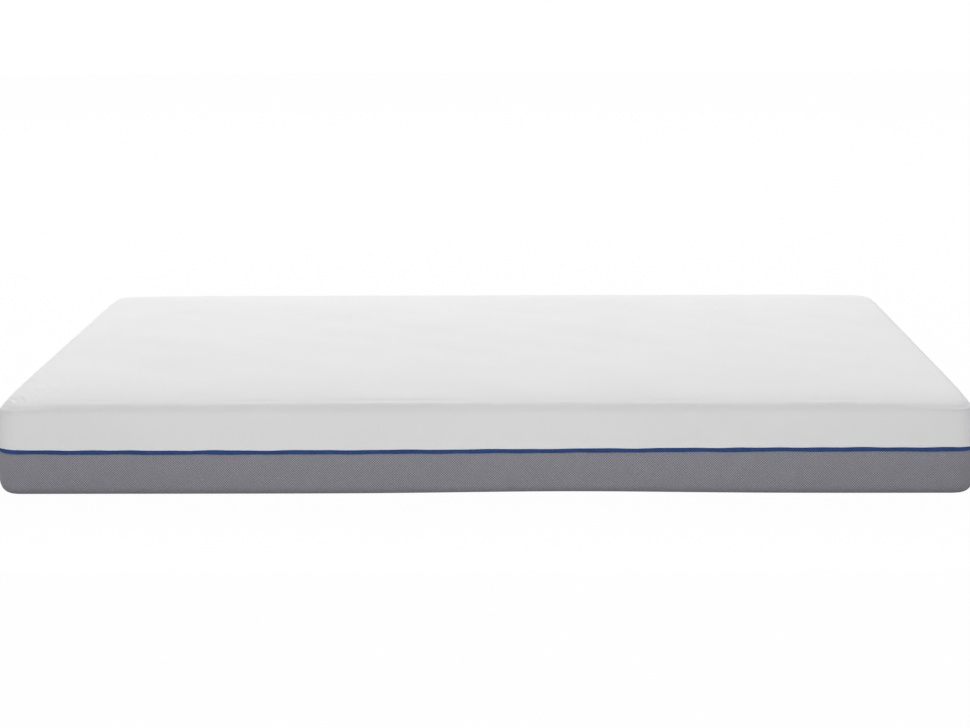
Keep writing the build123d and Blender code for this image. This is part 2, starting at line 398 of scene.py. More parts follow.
def zip_weave(look):
    """Herringbone zip tape."""
    cloth = Finish("zip_tape_weave")
    along, across = cloth.along_and_across()
    rib = 0.004
    thread = 0.0012
    chevron = abs((across / rib).fraction() - 0.5) * 2
    line = ((along / thread + chevron) * TURN).sine().lifted()
    tone = blend(line, cloth.noise(scale=200.0), 0.7)
    colour = cloth.dyed(look.tape, 0.3, tone)
    return cloth.close(colour, line, depth=0.00012, rough=(0.85, 0.75))


def coil_nylon(look):
    """Moulded nylon of the zip's teeth."""
    nylon = Finish("zip_coil_nylon")
    grain = nylon.noise(scale=900.0)
    colour = nylon.dyed(look.coil, 0.15, grain)
    return nylon.close(colour, grain, depth=0.00002, rough=(0.32, 0.47))


def brushed_metal(look):
    """Zinc slider and stops, brushed along the zip."""
    metal = Finish("zip_brushed_metal")
    along_x = (150.0, 2600.0, 2600.0)
    stretched = metal.node("ShaderNodeMapping", {"Vector": metal.place(), "Scale": along_x})
    brush = metal.noise(scale=1.0, detail=2.0, where=stretched)
    tone = blend(brush, metal.noise(scale=240.0), 0.6)
    colour = metal.dyed(look.metal, 0.14, tone)
    return metal.close(colour, brush, depth=0.00003, rough=(0.24, 0.44), metallic=1.0)


def thread_finish(name, look, pitch):
    """Twisted thread or filler cord."""
    thread = Finish(name)
    x, y, z = [thread.node("ShaderNodeSeparateXYZ", {0: thread.place()}, axis) for axis in range(3)]
    twist = ((x + y + z) * (TURN / pitch)).sine().lifted()
    tone = blend(twist, thread.noise(scale=800.0), 0.7)
    colour = thread.dyed(look.thread, 0.18, tone)
    return thread.close(colour, twist, depth=0.00015, rough=(0.8, 0.7))


def show(name, data):
    """An object of its own for a mesh, lamp, curve or camera."""
    made = bpy.data.objects.new(name, data)
    bpy.context.scene.collection.objects.link(made)
    return made


def new_piece(name, points, faces, uv_points, uv_faces, material):
    """A closed smooth mesh whose faces look outwards, with its own UV map in metres."""
    mesh = bpy.data.meshes.new(name)
    mesh.from_pydata([tuple(point) for point in points], [], faces)
    layer = mesh.uv_layers.new(name="UVMap")
    corners = [corner for face in uv_faces for corner in face]
    layer.data.foreach_set("uv", np.asarray(uv_points, np.float32)[corners].ravel())
    mesh.materials.append(material)
    shaped = bmesh.new()
    shaped.from_mesh(mesh)
    bmesh.ops.recalc_face_normals(shaped, faces=shaped.faces)
    shaped.to_mesh(mesh)
    shaped.free()
    mesh.shade_smooth()
    mesh.set_sharp_from_angle(angle=SHARP_TURN)
    return show(name, mesh)


def dress(piece, body, slot, *nodes):
    """Puts a piece on its body and in place of its CAD nodes."""
    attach(piece, body)
    if nodes:
        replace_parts(piece, *nodes)


# Steps of an upper grid for one of the lower grid, and steps of a rim for one of the upper grid.
CAP_STEP = 4
RIM_SPLIT = 2
# How far the steps close up towards the ends of a run.
FINE_ENDS = 0.7
# Half the gap that keeps panel and border from sharing faces at the top seam.
SEAM_HAIR = 0.00001
ROUNDING = 1e-9


def graded(count, run):
    """Places from 0 to the length of a run, closer together towards its ends."""
    share = np.arange(count + 1) / count
    return run * (share - FINE_ENDS * np.sin(TURN * share) / TURN)


class Perimeter:
    """The outermost line of the mattress in plan, walked from the front left corner to the right."""

    def __init__(self, radius):
        self.radius = radius
        self.half_x = HALF_X - radius
        self.half_y = HALF_Y - radius
        self.runs = (2 * self.half_x, 2 * self.half_y) * 2
        self.bend = QUARTER * radius
        self.total = sum(self.runs) + 4 * self.bend
        self.back_start = self.runs[0] + self.runs[1] + 2 * self.bend

    def back(self, x):
        """The distance at which the walk passes x on the back side."""
        return self.back_start + self.half_x - x

    def walk(self, distance):
        """Places on the line and its outward normals, one row for each distance."""
        distance = np.mod(distance, self.total)
        places = np.zeros((len(distance), 2))
        normals = np.zeros((len(distance), 2))
        centre = np.array((-self.half_x, -self.half_y))
        start = 0.0
        angle = -QUARTER
        for run in self.runs:
            out = np.array((math.cos(angle), math.sin(angle)))
            tangent = np.array((-out[1], out[0]))
            gone = distance - start
            straight = (gone >= 0) & (gone < run)
            places[straight] = centre + out * self.radius + tangent * gone[straight, None]
            normals[straight] = out
            centre = centre + tangent * run
            corner = (gone >= run) & (gone < run + self.bend + ROUNDING)
            turned = angle + (gone[corner] - run) / self.radius
            around = np.stack((np.cos(turned), np.sin(turned)), axis=1)
            places[corner] = centre + around * self.radius
            normals[corner] = around
            start += run + self.bend
            angle += QUARTER
        return places, normals

    def columns(self, pitch, corner_steps, split=1):
        """Distances for a closed ring, and how many steps each straight side takes."""
        counts = [CAP_STEP * max(1, round(run / pitch / CAP_STEP)) for run in self.runs]
        distance = []
        start = 0.0
        for run, count in zip(self.runs, counts):
            distance.extend(start + graded(count * split, run)[:-1])
            start += run
            distance.extend(np.linspace(start, start + self.bend, corner_steps, endpoint=False))
            start += self.bend
        return np.array(distance), counts

    def inset(self, x, y):
        """How far a place lies inside the line."""
        over_x = np.abs(x) - self.half_x
        over_y = np.abs(y) - self.half_y
        outside = np.hypot(np.maximum(over_x, 0), np.maximum(over_y, 0))
        return self.radius - outside - np.minimum(np.maximum(over_x, over_y), 0)


def border_columns(shape):
    """The perimeter, and the distances, places and normals of a border's columns."""
    line = Perimeter(shape.corner_radius)
    distance, _ = line.columns(shape.cap_pitch / 2, shape.corner_steps)
    return line, distance, *line.walk(distance)


def ground_of(places, normals, insets):
    """Where the points of sections stand in plan, as x and y."""
    ground = places[:, None, :] - normals[:, None, :] * insets[:, :, None]
    return ground[..., 0], ground[..., 1]


def swept(places, normals, insets, heights):
    """Points of a section carried round the perimeter; sections may differ by column."""
    return np.stack((*ground_of(places, normals, insets), heights), axis=2)


def section_lengths(insets, heights):
    """Running length along each section, closed round to its start."""
    steps = np.hypot(np.diff(insets, axis=1, append=insets[:, :1]),
                     np.diff(heights, axis=1, append=heights[:, :1]))
    return np.concatenate((np.zeros((len(insets), 1)), np.cumsum(steps, axis=1)), axis=1)


def quads(first, second, low, high):
    """Four-cornered faces between two lines of points, from each low row to its high row."""
    return np.stack((first + low, second + low, second + high, first + high), axis=2).reshape(-1, 4).tolist()


def ring(name, line, distance, insets, heights, material, closed=True):
    """A closed section swept round the perimeter, or along part of it with its ends capped."""
    places, normals = line.walk(distance)
    points = swept(places, normals, insets, heights).reshape(-1, 3)
    count, rows = insets.shape
    wide = rows + 1
    column = np.arange(count if closed else count - 1)[:, None]
    following = (column + 1) % count
    row = np.arange(rows)[None, :]
    faces = quads(column * rows, following * rows, row, (row + 1) % rows)
    uv_faces = quads(column * wide, (column + 1) * wide, row, row + 1)
    lengths = section_lengths(insets, heights)
    if closed:
        lengths = np.concatenate((lengths, lengths[:1]))
        distance = np.append(distance, distance[0] + line.total)
    else:
        for end in (0, count - 1):
            faces.append([end * rows + step for step in range(rows)])
            uv_faces.append([end * wide + step for step in range(rows)])
    uv_points = np.stack((np.repeat(distance[:, None], wide, axis=1), lengths), axis=2).reshape(-1, 2)
    return new_piece(name, points, faces, uv_points, uv_faces, material)


def rim_joints(across, deep, count, stride, corner_steps):
    """Columns of the rim, and points of the grid inside it, that each face between them joins."""
    wide = deep + 1
    sides = ([one * wide for one in range(across + 1)],
             [across * wide + one for one in range(wide)],
             [(across - one) * wide + deep for one in range(across + 1)],
             [deep - one for one in range(wide)])
    at = 0
    for side in sides:
        for start, end in zip(side, side[1:]):
            yield [(at + part) % count for part in range(stride + 1)], [end, start]
            at += stride
        for _ in range(corner_steps):
            yield [at % count, (at + 1) % count], side[-1:]
            at += 1


def cushion(name, line, section, lower, upper, material, pitch, corner_steps):
    """A flat padded form: a ring of rows from the lower rim round to the upper rim, and a grid over each."""
    distance, counts = line.columns(pitch, corner_steps, RIM_SPLIT)
    places, normals = line.walk(distance)
    insets, heights = section(distance, places, normals)
    rim = swept(places, normals, insets, heights)
    count, rows = insets.shape
    lengths = section_lengths(insets, heights)[:, :rows]
    unrolled = (lengths[:, -1:] - lengths)[..., None]
    rim_uv = rim[:, -1, None, :2] + normals[:, None, :] * unrolled
    points = [rim.reshape(-1, 3)]
    uv_points = [rim_uv.reshape(-1, 2)]
    column = np.arange(count)[:, None]
    row = np.arange(rows - 1)[None, :]
    faces = quads(column * rows, (column + 1) % count * rows, row, row + 1)
    uv_faces = [list(face) for face in faces]
    for edge_row, height, step in ((0, lower, CAP_STEP), (rows - 1, upper, 1)):
        across = counts[0] // step
        deep = counts[1] // step
        x, y = np.meshgrid(graded(across, 2 * line.half_x) - line.half_x,
                           graded(deep, 2 * line.half_y) - line.half_y, indexing="ij")
        cap = np.stack((x, y, height(x, y)), axis=2).reshape(-1, 3)
        base = sum(len(part) for part in points)
        uv_base = sum(len(part) for part in uv_points)
        edge_uv = uv_base + len(cap)
        points.append(cap)
        uv_points += [cap[:, :2], rim[:, edge_row, :2]]
        wide = deep + 1
        lane = np.arange(across)[:, None] * wide
        tile = np.arange(deep)[None, :]
        faces += quads(base + lane, base + lane + wide, tile, tile + 1)
        uv_faces += quads(uv_base + lane, uv_base + lane + wide, tile, tile + 1)
        for outer, inner in rim_joints(across, deep, count, RIM_SPLIT * step, corner_steps):
            faces.append([part * rows + edge_row for part in outer] + [base + part for part in inner])
            uv_faces.append([edge_uv + part for part in outer] + [uv_base + part for part in inner])
    return new_piece(name, np.concatenate(points), faces, np.concatenate(uv_points), uv_faces, material)


def slow_waves(x, y, seed, count, shortest, longest):
    """A smooth uneven field between about -1 and 1, the same on every run."""
    draw = np.random.default_rng(seed)
    field = np.zeros_like(x)
    for _ in range(count):
        length = draw.uniform(shortest, longest)
        heading = draw.uniform(0, TURN)
        phase = draw.uniform(0, TURN)
        field += np.sin((x * math.cos(heading) + y * math.sin(heading)) * TURN / length + phase)
    return field / math.sqrt(count)


def waves_along(run, seed, count, shortest, longest):
    """Slow waves that change in one direction only."""
    return slow_waves(run, np.zeros_like(run), seed, count, shortest, longest)


def by_column(rows, count):
    """Insets and heights of one section, repeated for each column of a ring."""
    section = np.array(rows)
    return np.tile(section[:, 0], (count, 1)), np.tile(section[:, 1], (count, 1))


def quarter_roll(inset, level, radius, way, count):
    """Rows round an edge from its flat to its side; way is 1 for a lower edge and -1 for an upper one."""
    return [(inset + radius * (1 - math.cos(turn)), level + way * radius * (1 - math.sin(turn)))
            for turn in np.linspace(QUARTER, 0, count)]


def eased(value):
    """A smooth step from 0 to 1."""
    value = np.clip(value, 0, 1)
    return value * value * (3 - 2 * value)


def bell(distance, reach):
    """1 in the middle, falling off to both sides."""
    return np.exp(-(distance / reach) ** 2)


def facing_front(normals):
    """1 along the front, falling to 0 round its corners."""
    return np.clip(-normals[:, 1], 0, 1) ** 2


def lean(shape, normals, heights):
    """How far the short sides lean in, growing from above the piping to the top seam."""
    start = PIPING_Z + 0.02
    most = 1.6
    curve = 1.5
    share = np.clip((heights - start) / (SEAM_Z - start), 0, most) ** curve
    return shape.end_lean * normals[:, :1] ** 2 * share


def roll_inset(shape, normals, heights):
    """How far the top edge's roll draws the outside in at a height; it is wider than high at the front."""
    to_end = normals[:, :1] ** 2
    to_front = facing_front(normals)[:, None]
    to_back = 1 - to_end - to_front
    height = shape.edge_roll + (shape.end_roll - shape.edge_roll) * to_end
    width = shape.end_roll * to_end + shape.front_width * to_front + shape.back_width * to_back
    rise = np.clip((heights - PANEL_HIGH.z + shape.crown_rise) / height + 1, 0, 1)
    return width * (1 - np.sqrt(1 - rise ** 2))


# Relative height, length and phase of each wave of the piping along the front, and how far all of it sinks.
HEM_WAVES = ((1.15, 2.6, -TURN * 0.1 / 2.6), (0.16, 0.19, 1.0), (0.1, 0.083, 0.0))
HEM_SINK = 0.25


def hem_wave(shape, places, normals):
    """How far piping and hems wander up or down along the front."""
    waves = sum(height * np.sin(TURN * places[:, 0] / length + phase) for height, length, phase in HEM_WAVES)
    return shape.piping_wave * facing_front(normals) * (waves - HEM_SINK)


def piping_swell(shape, distance, normals):
    """How far the piping bulges up and down beyond its cord along the front."""
    unevenness = 0.8
    waves = waves_along(distance, seed=8, count=10, shortest=0.03, longest=0.2)
    return shape.piping_bulge * facing_front(normals) * (1 + unevenness * waves)


LIFT_MIDDLE = 0.17
LIFT_HALF_WIDTH = 0.30
LIFT_DEPTH = 0.2
LIFT_HEIGHT = 0.045


def floor_lift(shape, x, y):
    """How far the underside lifts off the floor, most at the front right of the middle."""
    return shape.bottom_lift * np.exp(
        -((x - LIFT_MIDDLE) / LIFT_HALF_WIDTH) ** 2 - ((y + HALF_Y) / LIFT_DEPTH) ** 2)


def lifted_low(shape, places, normals, insets, heights):
    """Heights of a section whose lower part follows the lift off the floor."""
    near_floor = np.clip(1 - heights / LIFT_HEIGHT, 0, 1)
    return heights + floor_lift(shape, *ground_of(places, normals, insets)) * near_floor


def edge_gaps(x, y):
    """How far places lie inside the short edges and the long edges."""
    return HALF_X - np.abs(x), HALF_Y - np.abs(y)


def worn_in(y):
    """How much the long edges give way, most at the front."""
    front = 1.0
    back = 0.3
    reach = 0.25
    return (front + back) / 2 - (front - back) / 2 * np.tanh(y / reach)


def shoulder(shape, x, y):
    """How far the lying surface falls off close to its edges."""
    reach = 0.06
    end_share = 0.35
    short_side, long_side = [np.exp(-np.maximum(gap - shape.edge_roll, 0) / reach)
                             for gap in edge_gaps(x, y)]
    return shape.shoulder_drop * (worn_in(y) * long_side + end_share * short_side)


def below_panel(shape, heights, low):
    """Share of the way from a low height up to the inner side of the panel's edge."""
    return eased((heights - low) / (PANEL_HIGH.z - shape.crown_rise - shape.panel_thickness - low))


def seam_sink(shape, x, y, heights):
    """How far the top seam and the cloth next to it give way with the shoulder."""
    reach = 0.03
    share = below_panel(shape, heights, SEAM_Z - reach)
    return shoulder(shape, x, y) * (share - below_panel(shape, heights, SEAM_Z))


def crown(shape, line, x, y):
    """Height of the lying surface above its edge."""
    rise_reach = 0.16
    rise_curve = 0.9
    corner_wide = 0.15
    corner_deep = 0.06
    corner_power = 4.0
    least_gap = 1e-4
    soft_from = 0.4
    gap_x, gap_y = [np.maximum(gap, least_gap) for gap in edge_gaps(x, y)]
    soft = (gap_x ** -corner_power + gap_y ** -corner_power) ** (-1 / corner_power)
    inset = line.inset(x, y)
    share = eased((inset / line.radius - soft_from) / (1 - soft_from))
    depth = inset * (1 - share) + soft * share
    reach = np.maximum(depth - shape.edge_roll, 0) / (HALF_Y - shape.edge_roll)
    corner = shape.corner_drop * np.exp(-(gap_x / corner_wide) ** 2 - gap_y / corner_deep) * worn_in(y)
    rise = shape.crown_rise * (1 - np.exp(-(reach / rise_reach) ** rise_curve))
    return rise - shoulder(shape, x, y) - corner


# Middle, half length, distance from the edge and relative height of each crease along the front edge.
EDGE_CREASES = (
    (-0.80, 0.09, 0.020, 0.35),
    (-0.46, 0.06, 0.016, 1.0),
    (-0.17, 0.15, 0.019, 1.2),
    (0.16, 0.05, 0.022, 0.8),
    (0.38, 0.08, 0.017, 0.8),
    (0.70, 0.07, 0.020, 0.9),
)
CREASE_RIDGE = 0.006
CREASE_VALLEY = 0.008
CREASE_STEP = 0.014
VALLEY_SHARE = 0.8
END_PUCKER = 0.5
LONG_PUCKER = 0.45
CORNER_CRINKLE = 1.3
CRINKLE_LEFT = 1.0
CRINKLE_RIGHT = 0.1


def corner_crinkles(x, y):
    """Fine lines that run from the short edges towards the front edge, strongest at the front left."""
    slant_cos = 0.92
    slant_sin = 0.39
    stretch = 0.15
    bend = 0.004
    bend_length = 0.11
    side_reach = 0.07
    front_reach = 0.25
    far_share = 0.2
    patch_middle = 0.6
    patch_most = 1.6
    from_side, _ = edge_gaps(x, y)
    from_front = HALF_Y + y
    across = slant_cos * from_side + slant_sin * from_front
    along = slant_sin * from_side - slant_cos * from_front
    bent = across + bend * np.sin(along * TURN / bend_length)
    lines = slow_waves(bent, along * stretch, seed=29, count=10, shortest=0.013, longest=0.032)
    waves = slow_waves(x, y, seed=37, count=6, shortest=0.06, longest=0.16)
    patches = np.clip(patch_middle + patch_middle * waves, 0, patch_most)
    near_front = far_share + (1 - far_share) * np.exp(-from_front / front_reach)
    near = np.exp(-from_side / side_reach) * near_front
    return near * patches * lines * np.where(x < 0, CRINKLE_LEFT, CRINKLE_RIGHT)


def folds(shape, line, x, y):
    """Slow waves of the lying surface, puckers across its edges and creases along the front edge."""
    ripple_from = 0.02
    ripple_over = 0.12
    wrinkle_from = 0.006
    wrinkle_over = 0.014
    end_reach = 0.05
    long_reach = 0.035
    end_slant = 0.25
    long_slant = 0.35
    inset = line.inset(x, y)
    away = eased((inset - ripple_from) / ripple_over)
    rising = eased((inset - wrinkle_from) / wrinkle_over)
    height = shape.ripple * away * slow_waves(x, y, seed=11, count=9, shortest=0.16, longest=0.6)
    gap_x, gap_y = edge_gaps(x, y)
    near_end = np.exp(-gap_x / end_reach)
    near_long = np.exp(-gap_y / long_reach)
    end_pucker = waves_along(y + end_slant * np.abs(x), seed=17, count=9, shortest=0.05, longest=0.14)
    height += END_PUCKER * shape.wrinkle * rising * near_end * end_pucker
    height += CORNER_CRINKLE * shape.wrinkle * rising * corner_crinkles(x, y)
    long_pucker = waves_along(x + long_slant * np.abs(y), seed=19, count=9, shortest=0.035, longest=0.12)
    height += LONG_PUCKER * shape.wrinkle * rising * near_long * long_pucker
    for middle, half, at, rise in EDGE_CREASES:
        valley = VALLEY_SHARE * bell(inset - at - CREASE_STEP, CREASE_VALLEY)
        ridge = bell(inset - at, CREASE_RIDGE) - valley
        height += shape.wrinkle * rise * bell(x - middle, half) * ridge * (y < 0)
    return height


def seam_pull(shape, distance, heights):
    """How far the cover is pulled in at the top seam, with small gathers on both sides of it."""
    deepest = SEAM_Z - 0.002
    reach_up = 0.009
    reach_down = 0.036
    gather_share = 0.3
    gather_reach = 0.008
    reach = np.where(heights > deepest, reach_up, reach_down)
    pucker = waves_along(distance, seed=3, count=10, shortest=0.03, longest=0.11)[:, None]
    gathers = gather_share * shape.wrinkle * pucker * bell(heights - SEAM_Z, gather_reach)
    return shape.seam_tuck * bell(heights - deepest, reach) - gathers


def make_top_panel(shape, look):
    """Knit and wadding over the top, rolled over the edge down to the seam."""
    line = Perimeter(shape.corner_radius)
    edge_z = PANEL_HIGH.z - shape.crown_rise
    inner_top = edge_z - shape.panel_thickness
    seam = SEAM_Z + SEAM_HAIR
    rim_gap = 0.006
    rim = shape.corner_radius - rim_gap
    inside = shape.cover_inside
    inner_roll = 0.009
    roll_rows = 18
    flat_rows = 12
    lean_fade = 0.03
    fold_from = 0.003
    fold_over = 0.008

    def section(distance, places, normals):
        rows = [(inset, inner_top) for inset in np.linspace(rim, inside + inner_roll, 3)]
        rows += quarter_roll(inside, inner_top, inner_roll, -1, 5)[1:]
        rows.append((inside, seam))
        insets, heights = by_column(rows, len(distance))
        edge = seam + (edge_z - seam) * np.sin(np.linspace(0, QUARTER, roll_rows))
        edge = np.tile(edge, (len(distance), 1))
        roll = inset_of(UPPER_HIGH) + roll_inset(shape, normals, edge)
        flat = roll[:, -1:] + (rim - roll[:, -1:]) * np.linspace(0, 1, flat_rows)[1:]
        insets = np.hstack((insets, roll, flat))
        heights = np.hstack((heights, edge, np.full_like(flat, edge_z)))
        insets = insets + lean(shape, normals, heights) * eased((rim - insets) / lean_fade)
        shown = np.arange(insets.shape[1]) >= len(rows)
        insets = insets + shown * seam_pull(shape, distance, heights)
        ground = ground_of(places, normals, insets)
        above_seam = eased((heights - SEAM_Z - fold_from) / fold_over)
        crumple = shown * folds(shape, line, *ground) * above_seam
        rise = crown(shape, line, *ground) * below_panel(shape, heights, SEAM_Z)
        return insets, heights + rise - seam_sink(shape, *ground, heights) + crumple

    def upper(x, y):
        return edge_z + crown(shape, line, x, y) + folds(shape, line, x, y)

    def lower(x, y):
        return inner_top + crown(shape, line, x, y)

    panel = cushion("knit_top_panel", line, section, lower, upper, white_knit(look),
                    pitch=shape.cap_pitch, corner_steps=shape.corner_steps)
    dress(panel, "top_cover", "white_knit", "top_panel")


HEM_FOLD = 0.0058
BORDER_BEVEL = 0.0075
# The white border's outside: insets with heights above the hem, then insets with depths below the seam.
SKIN_ABOVE_HEM = (
    (0.0030, 0.0), (0.0011, 0.0002), (0.0006, 0.0007), (0.0006, 0.0016), (0.0010, 0.0036),
    (0.0016, 0.0064), (0.0022, 0.0100), (0.0026, 0.0145), (0.0027, 0.020), (0.0026, 0.027),
    (0.0024, 0.034), (0.0022, 0.042), (0.0020, 0.050))
SKIN_BELOW_SEAM = (
    (0.0018, 0.029), (0.0017, 0.023), (0.0016, 0.018), (0.0016, 0.014), (0.0015, 0.0105),
    (0.0015, 0.0075), (0.0015, 0.005), (0.0015, 0.0028), (0.0015, 0.0012), (0.0015, 0.0))


def make_upper_border(shape, look):
    """White border from the top seam to the piping; its hem rolls out over the piping."""
    line, distance, places, normals = border_columns(shape)
    hem = UPPER_LOW.z
    top = SEAM_Z - SEAM_HAIR
    inside = shape.cover_inside
    flange_top = PIPING_HIGH.z
    tucked = 2
    hem_reach = 0.05
    bulge_share = 0.55
    bulge_reach = 0.028
    rows = [(HEM_FOLD, hem)]
    rows += [(inset, hem + rise) for inset, rise in SKIN_ABOVE_HEM]
    rows += [(inset, top - fall) for inset, fall in SKIN_BELOW_SEAM]
    skin = len(rows)
    rows += [(inside, top), (inside, top - 0.02), (inside, top - 0.04), (inside, flange_top + 0.020),
             (inside, flange_top + 0.0115), (BORDER_BEVEL, flange_top + 0.003),
             (HEM_FOLD, flange_top + 0.0005), (HEM_FOLD, flange_top - 0.005)]
    insets, heights = by_column(rows, len(distance))
    shown = np.zeros(len(rows))
    shown[tucked:skin] = 1.0
    swell = waves_along(distance, seed=21, count=8, shortest=0.14, longest=0.5)[:, None]
    bulge = bulge_share * shape.ripple * swell * bell(heights - (hem + top) / 2, bulge_reach)
    pulled = seam_pull(shape, distance, heights) + roll_inset(shape, normals, heights)
    insets = insets + shown * (pulled - bulge)
    insets = insets + lean(shape, normals, heights)
    low_share = 1 - eased((heights - hem) / hem_reach)
    sunk = seam_sink(shape, *ground_of(places, normals, insets), heights)
    hem_rise = hem_wave(shape, places, normals) + piping_swell(shape, distance, normals)
    heights = heights + hem_rise[:, None] * low_share - sunk
    border = ring("knit_upper_border", line, distance, insets, heights, white_knit(look))
    dress(border, "top_cover", "white_knit", "upper_border")


def make_piping(shape, look):
    """Twill tape folded round its filler cord, with the flange that is sewn between border and zip."""
    line, distance, places, normals = border_columns(shape)
    wave = hem_wave(shape, places, normals)[:, None]
    flange_out = 0.0061
    flange_in = 0.0070
    sewn = 0.006
    tube_rows = 17
    cord_rows = 10
    open_turn = 0.12
    close_turn = 0.06
    rise = math.acos((flange_out - PIPING_RADIUS) / PIPING_RADIUS)
    profile = [(flange_out, PIPING_HIGH.z), (flange_out, PIPING_Z + sewn),
               (flange_out, PIPING_Z + PIPING_RADIUS * math.sin(rise) + 0.0006)]
    for turn in np.linspace(rise + open_turn, TURN - close_turn, tube_rows):
        profile.append((PIPING_RADIUS + PIPING_RADIUS * math.cos(turn),
                        PIPING_Z + PIPING_RADIUS * math.sin(turn)))
    profile += [(flange_in, PIPING_Z + 0.0008), (flange_in, PIPING_Z + sewn), (flange_in, PIPING_HIGH.z)]
    insets, heights = by_column(profile, len(distance))
    plump = piping_swell(shape, distance, normals)[:, None] / PIPING_RADIUS
    on_tube = np.array([0.0] * 3 + [1.0] * tube_rows + [0.0] * 3)
    below_top = heights < PIPING_HIGH.z - 0.001
    heights = heights + on_tube * plump * (heights - PIPING_Z) + wave * below_top
    tape = ring("twill_piping", line, distance, insets, heights, blue_twill(look))
    dress(tape, "top_cover", "blue_piping", "piping_cover")
    around = np.linspace(0, TURN, cord_rows, endpoint=False)
    insets = np.tile(PIPING_RADIUS + CORD_RADIUS * np.cos(around), (len(distance), 1))
    heights = np.tile(PIPING_Z + CORD_RADIUS * np.sin(around), (len(distance), 1)) + wave
    filler = ring("filler_cord", line, distance, insets, heights,
                  thread_finish("filler_twist", look, pitch=0.004))
    dress(filler, "top_cover", "filler_cord", "piping_cord")


# Inset and depth below the hem of the mesh border's outside.
MESH_BELOW_HEM = (
    (HEM_FOLD, 0.0), (0.0046, 0.0), (0.0038, 0.0004), (0.0034, 0.0014), (0.0032, 0.003),
    (0.0029, 0.008), (0.0026, 0.015), (0.0024, 0.024), (0.00225, 0.034))


def make_lower_border(shape, look):
    """Grey mesh border from under the piping down and round the bottom edge."""
    line, distance, places, normals = border_columns(shape)
    hem = LOWER_HIGH.z
    outside = inset_of(LOWER_HIGH)
    roll = shape.bottom_roll
    roll_rows = 10
    end_stretch = 0.6
    inside = shape.cover_inside
    inner_roll = 0.0093
    inner_floor = 0.0018
    tail = outside + roll
    tape_low = TAPE_DOWN_LOW.z
    tucked = 3
    bulge_share = 0.4
    bulge_middle = 0.05
    bulge_reach = 0.022
    hem_reach = 0.035
    slider_gap = 0.0008
    stop_gap = 0.002
    dip_fade = 0.016
    back_fade = 0.1
    profile = [(inset, hem - fall) for inset, fall in MESH_BELOW_HEM]
    profile += [(outside, hem - 0.044), (outside, hem - 0.055)]
    rolled = slice(len(profile), len(profile) + roll_rows)
    profile += reversed(quarter_roll(outside, 0.0, roll, 1, roll_rows))
    profile += [(tail - 0.0004, 0.0012), (tail - 0.0008, 0.0017)]
    profile += quarter_roll(inside, inner_floor, inner_roll, 1, 6)
    profile += [(inside, 0.03), (inside, tape_low - 0.0105), (BORDER_BEVEL, tape_low - 0.002),
                (HEM_FOLD, tape_low - 0.0002), (HEM_FOLD, hem - 0.006)]
    insets, heights = by_column(profile, len(distance))
    heights[:, rolled] *= 1 + end_stretch * normals[:, :1] ** 2
    shown = np.zeros(len(profile))
    shown[tucked:rolled.start + roll_rows // 2] = 1.0
    swell = waves_along(distance, seed=31, count=8, shortest=0.12, longest=0.5)[:, None]
    front = facing_front(normals)[:, None]
    near_middle = bell(heights - bulge_middle, bulge_reach)
    insets = insets - shown * bulge_share * shape.ripple * swell * near_middle * front
    heights = lifted_low(shape, places, normals, insets, heights)
    on_back = eased((normals[:, 1] - 1 + back_fade) / back_fade)
    past_stops = np.abs(places[:, 0]) - (STOPS_LOW.x + STOPS_HIGH.x) / 2 + stop_gap
    dip = (hem - SLIDER_LOW.z + slider_gap) * on_back * eased(0.5 - past_stops / dip_fade)
    high_share = eased((heights - hem + hem_reach) / hem_reach)
    hem_rise = hem_wave(shape, places, normals) - piping_swell(shape, distance, normals) - dip
    heights = heights + hem_rise[:, None] * high_share
    border = ring("mesh_lower_border", line, distance, insets, heights, grey_mesh(look))
    dress(border, "base", "grey_mesh", "lower_border")


REPEAT_INPUTS = {"Path": "Geometry", "Pitch": "Float", "Size": "Vector", "Turn": "Vector",
                 "Material": "Material"}


def repeat_tree():
    """The node tree that sets a small bar at every step of a path."""
    tree = bpy.data.node_groups.new("bar_repeat", "GeometryNodeTree")
    for label, kind in REPEAT_INPUTS.items():
        tree.interface.new_socket(name=label, in_out="INPUT", socket_type="NodeSocket" + kind)
    tree.interface.new_socket(name="Bars", in_out="OUTPUT", socket_type="NodeSocketGeometry")
    graph = Graph(tree)
    path, pitch, size, turn, material = [
        graph.node("NodeGroupInput", output=label) for label in REPEAT_INPUTS]
    spaced = graph.node("GeometryNodeResampleCurve", {"Curve": path, "Length": pitch}, mode="LENGTH")
    bar = graph.node("GeometryNodeMeshCylinder", {"Vertices": 6, "Radius": 0.5, "Depth": 1.0}, "Mesh")
    bar = graph.node("GeometryNodeTransform", {"Geometry": bar, "Rotation": turn})
    tangent = graph.node("GeometryNodeInputTangent")
    heading = graph.node("FunctionNodeAlignRotationToVector", {"Vector": tangent}, axis="X", pivot_axis="Z")
    bars = graph.node("GeometryNodeInstanceOnPoints",
                      {"Points": spaced, "Instance": bar, "Rotation": heading, "Scale": size})
    plain = graph.node("GeometryNodeRealizeInstances", {"Geometry": bars})
    finished = graph.node("GeometryNodeSetMaterial", {"Geometry": plain, "Material": material})
    graph.node("NodeGroupOutput", {"Bars": finished})
    return tree


